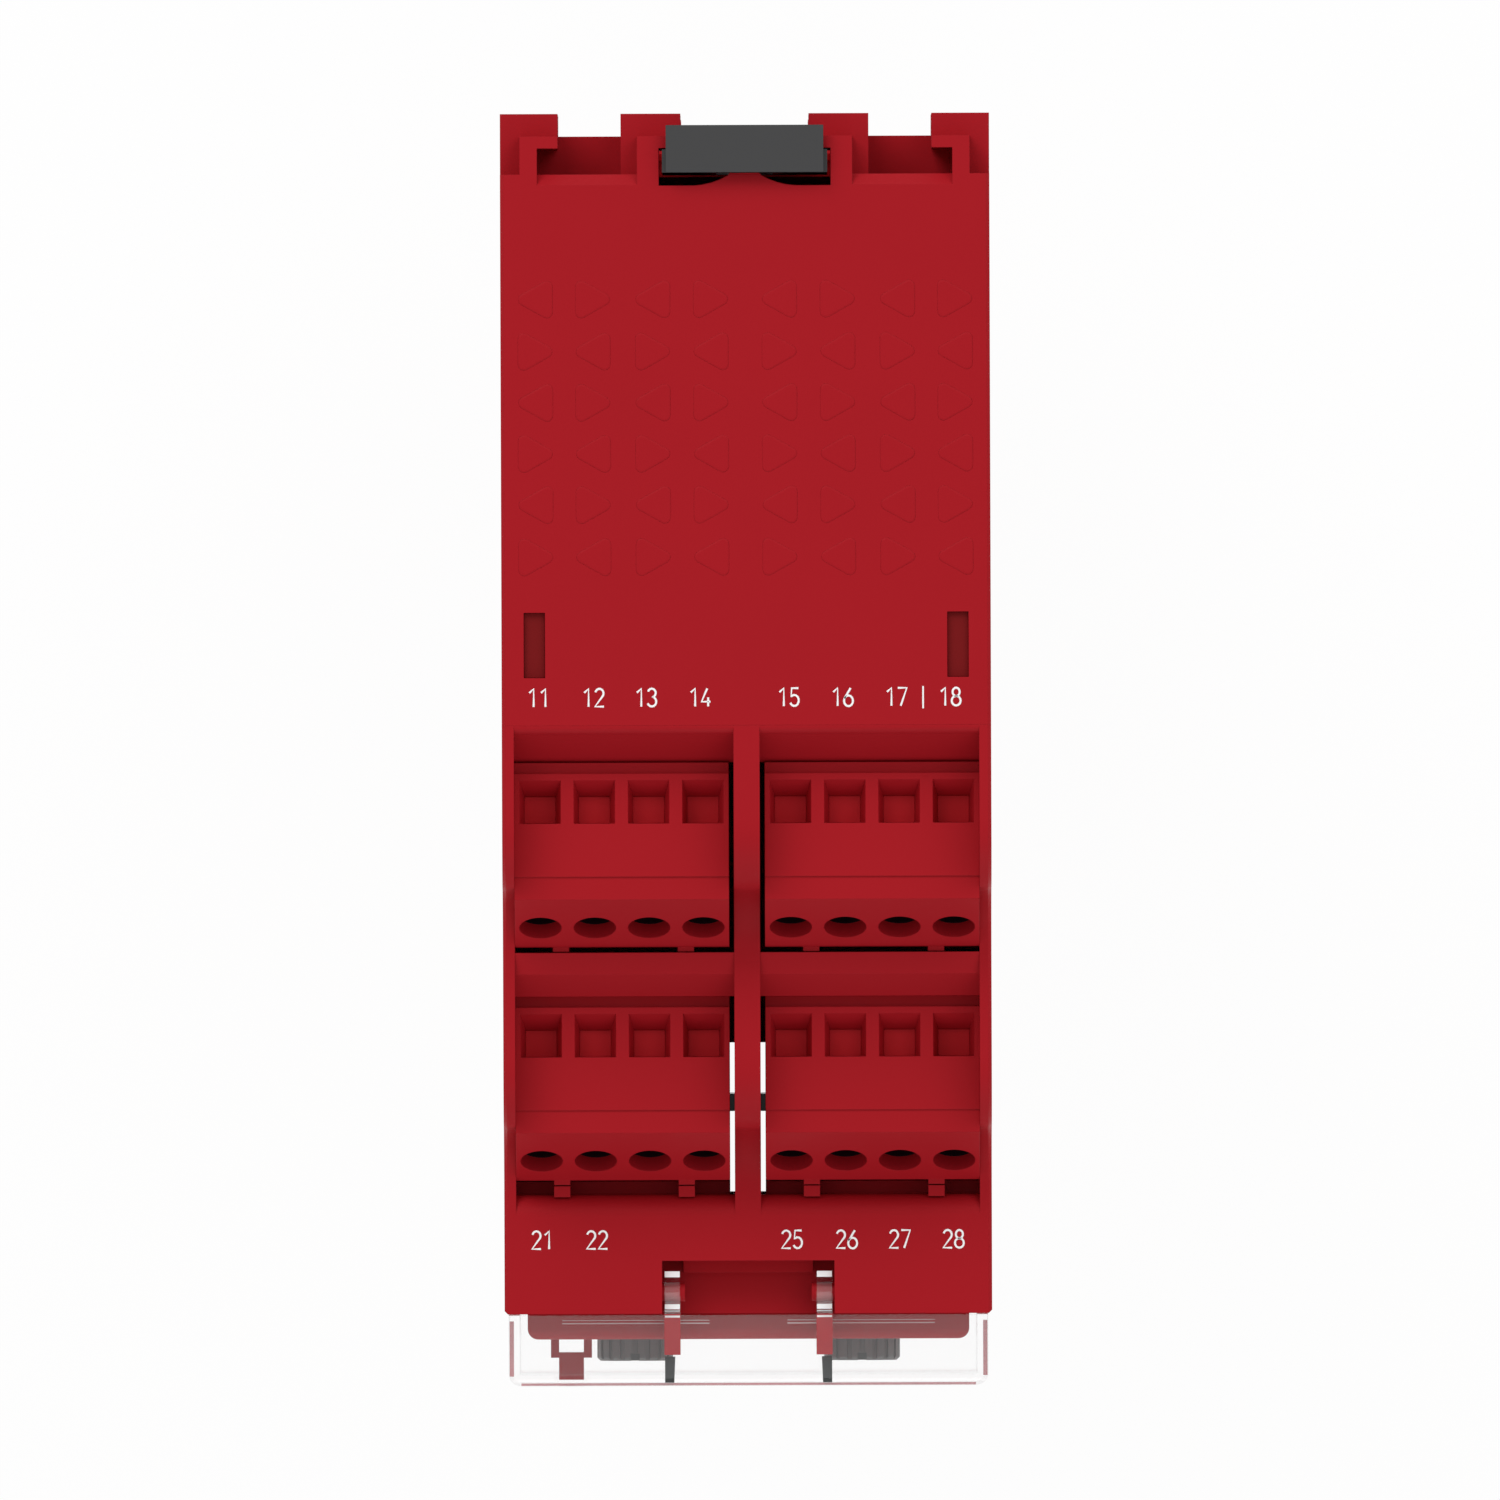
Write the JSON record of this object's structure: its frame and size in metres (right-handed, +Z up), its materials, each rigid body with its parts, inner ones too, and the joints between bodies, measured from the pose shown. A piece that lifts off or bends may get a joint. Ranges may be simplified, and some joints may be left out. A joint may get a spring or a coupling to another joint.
{
  "type": "safety relay",
  "caption": "Rail-mounted safety relay: stepped red housing with pull-off screw terminal plugs above and below, a sliding rail clip and a hinged clear front cover.",
  "frame": {"origin": "middle of the flat seat that rests on the front of a 35 mm rail", "axes": "+Z up as mounted, -Y out of the front, +X along the rail to the right as seen from the front"},
  "size_m": [0.045, 0.1173, 0.1004],
  "materials": {
    "housing": "fine moulded satin red",
    "plug": "smooth moulded red",
    "clip": "fine moulded dark grey",
    "knob": "satin grey",
    "clear_cover": "clear polished plastic",
    "light_guide": "frosted clear plastic",
    "lamp": "milky",
    "spring_steel": "drawn",
    "screw": "zinc plated",
    "clamp": "plated",
    "contact": "tinned",
    "header": "black moulded",
    "switch_case": "black moulded",
    "board": "coated glass laminate",
    "relay_case": "moulded dark grey",
    "core": "varnished laminate",
    "can": "sleeved can"
  },
  "bodies": {
    "housing": {"rear_housing": "housing", "front_housing": "housing", "rear_header_pins": "contact", "front_header_pins": "contact", "rear_board": "board", "front_board": "board", "relay_upper_left": "relay_case", "relay_upper_right": "relay_case", "relay_lower_left": "relay_case", "relay_lower_right": "relay_case", "header_top_rear_left": "header", "header_bottom_rear_left": "header", "header_top_rear_right": "header", "header_bottom_rear_right": "header", "header_top_front_left": "header", "header_bottom_front_left": "header", "header_top_front_right": "header", "header_bottom_front_right": "header", "clip_spring": "spring_steel", "selector_switches": "switch_case", "light_guides": "light_guide", "status_lights": "lamp", "transformer": "core", "capacitors": "can", "board_links": "header", "display_board": "board", "right_board": "board", "left_board": "board"},
    "rail_clip": {"din_clip": "clip"},
    "cover": {"front_cover": "clear_cover"},
    "left_knob": {"knob_left": "knob"},
    "right_knob": {"knob_right": "knob"},
    "top_rear_left_plug": {"plug_top_rear_left": "plug", "screws_top_rear_left": "screw", "clamps_top_rear_left": "clamp"},
    "bottom_rear_left_plug": {"plug_bottom_rear_left": "plug", "screws_bottom_rear_left": "screw", "clamps_bottom_rear_left": "clamp"},
    "top_rear_right_plug": {"plug_top_rear_right": "plug", "screws_top_rear_right": "screw", "clamps_top_rear_right": "clamp"},
    "bottom_rear_right_plug": {"plug_bottom_rear_right": "plug", "screws_bottom_rear_right": "screw", "clamps_bottom_rear_right": "clamp"},
    "top_front_left_plug": {"plug_top_front_left": "plug", "screws_top_front_left": "screw", "clamps_top_front_left": "clamp"},
    "bottom_front_left_plug": {"plug_bottom_front_left": "plug", "screws_bottom_front_left": "screw", "clamps_bottom_front_left": "clamp"},
    "top_front_right_plug": {"plug_top_front_right": "plug", "screws_top_front_right": "screw", "clamps_top_front_right": "clamp"},
    "bottom_front_right_plug": {"plug_bottom_front_right": "plug", "screws_bottom_front_right": "screw", "clamps_bottom_front_right": "clamp"}
  },
  "joints": [
    {"name": "cover_hinge", "type": "hinge", "parent": "housing", "child": "cover", "pos_m": [0, -0.1036, 0.0224], "axis": [-1, 0, 0], "range_deg": [0, 100]},
    {"name": "clip_slide", "type": "slide", "parent": "housing", "child": "rail_clip", "axis": [0, 0, 1], "range_m": [0, 0.003], "stiffness_N_per_m": 2500, "springref_m": -0.002, "deforming": ["clip_spring"]},
    {"name": "left_knob_turn", "type": "hinge", "parent": "housing", "child": "left_knob", "pos_m": [-0.0105, -0.109, 0.007], "axis": [0, -1, 0], "range_deg": [-150, 150]},
    {"name": "right_knob_turn", "type": "hinge", "parent": "housing", "child": "right_knob", "pos_m": [0.0105, -0.109, 0.007], "axis": [0, -1, 0], "range_deg": [-150, 150]},
    {"name": "top_rear_left_pull", "type": "slide", "parent": "housing", "child": "top_rear_left_plug", "axis": [0, 0, 1], "range_m": [0, 0.026]},
    {"name": "bottom_rear_left_pull", "type": "slide", "parent": "housing", "child": "bottom_rear_left_plug", "axis": [0, 0, -1], "range_m": [0, 0.026]},
    {"name": "top_rear_right_pull", "type": "slide", "parent": "housing", "child": "top_rear_right_plug", "axis": [0, 0, 1], "range_m": [0, 0.026]},
    {"name": "bottom_rear_right_pull", "type": "slide", "parent": "housing", "child": "bottom_rear_right_plug", "axis": [0, 0, -1], "range_m": [0, 0.026]},
    {"name": "top_front_left_pull", "type": "slide", "parent": "housing", "child": "top_front_left_plug", "axis": [0, 0, 1], "range_m": [0, 0.026]},
    {"name": "bottom_front_left_pull", "type": "slide", "parent": "housing", "child": "bottom_front_left_plug", "axis": [0, 0, -1], "range_m": [0, 0.026]},
    {"name": "top_front_right_pull", "type": "slide", "parent": "housing", "child": "top_front_right_plug", "axis": [0, 0, 1], "range_m": [0, 0.026]},
    {"name": "bottom_front_right_pull", "type": "slide", "parent": "housing", "child": "bottom_front_right_plug", "axis": [0, 0, -1], "range_m": [0, 0.026]}
  ]
}
